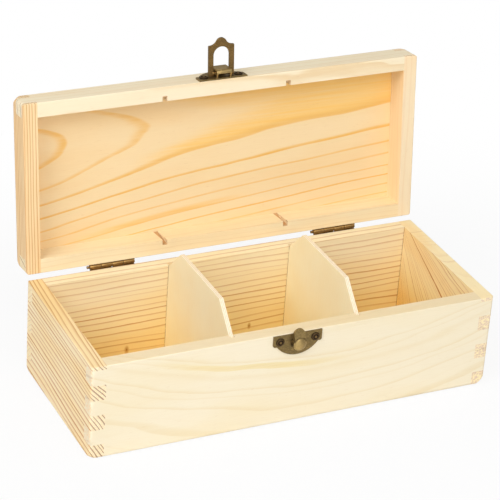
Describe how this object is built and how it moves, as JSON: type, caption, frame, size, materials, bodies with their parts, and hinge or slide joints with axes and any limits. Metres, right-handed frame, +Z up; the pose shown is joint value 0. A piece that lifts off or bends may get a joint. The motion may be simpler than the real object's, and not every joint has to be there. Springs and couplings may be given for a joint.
{
  "type": "tea bag organizer box",
  "caption": "Finger-jointed pine box with compartments for tea bag envelopes, a hinged lid with an inset panel, and a hasp that closes over a nub.",
  "frame": {"origin": "centre of the underside, on the surface the box stands on", "axes": "+X along the front to the right, +Y to the back, +Z up; the lid is stored open"},
  "size_m": [0.29, 0.1596, 0.217],
  "materials": {
    "pine_pale": "satin",
    "pine_warm": "satin",
    "pine_striped": "satin",
    "pine_divider": "matte",
    "pine_panel": "satin",
    "bronze": "aged"
  },
  "bodies": {
    "base": {"front_board": "pine_pale", "back_board": "pine_warm", "left_board": "pine_striped", "right_board": "pine_warm", "bottom_panel": "pine_panel", "divider_left": "pine_divider", "divider_right": "pine_divider", "catch_plate": "bronze", "catch_nails": "bronze", "hinge_left_base_leaf": "bronze", "hinge_right_base_leaf": "bronze", "hinge_left_pin": "bronze", "hinge_right_pin": "bronze", "hinge_base_nails": "bronze"},
    "lid": {"lid_front_rail": "pine_pale", "lid_back_rail": "pine_pale", "lid_left_rail": "pine_striped", "lid_right_rail": "pine_warm", "lid_panel": "pine_panel", "hinge_left_lid_leaf": "bronze", "hinge_right_lid_leaf": "bronze", "hinge_lid_nails": "bronze", "hasp_plate": "bronze", "hasp_nails": "bronze"},
    "loop": {"hasp_loop": "bronze"}
  },
  "joints": [
    {"name": "lid_hinge", "type": "hinge", "parent": "base", "child": "lid", "pos_m": [0, 0.0613, 0.0699], "axis": [1, 0, 0], "range_deg": [0, 96.5]},
    {"name": "hasp_hinge", "type": "hinge", "parent": "lid", "child": "loop", "pos_m": [-0.0025, 0.07981, 0.19259], "axis": [1, 0, 0], "range_deg": [-90, 90]}
  ]
}
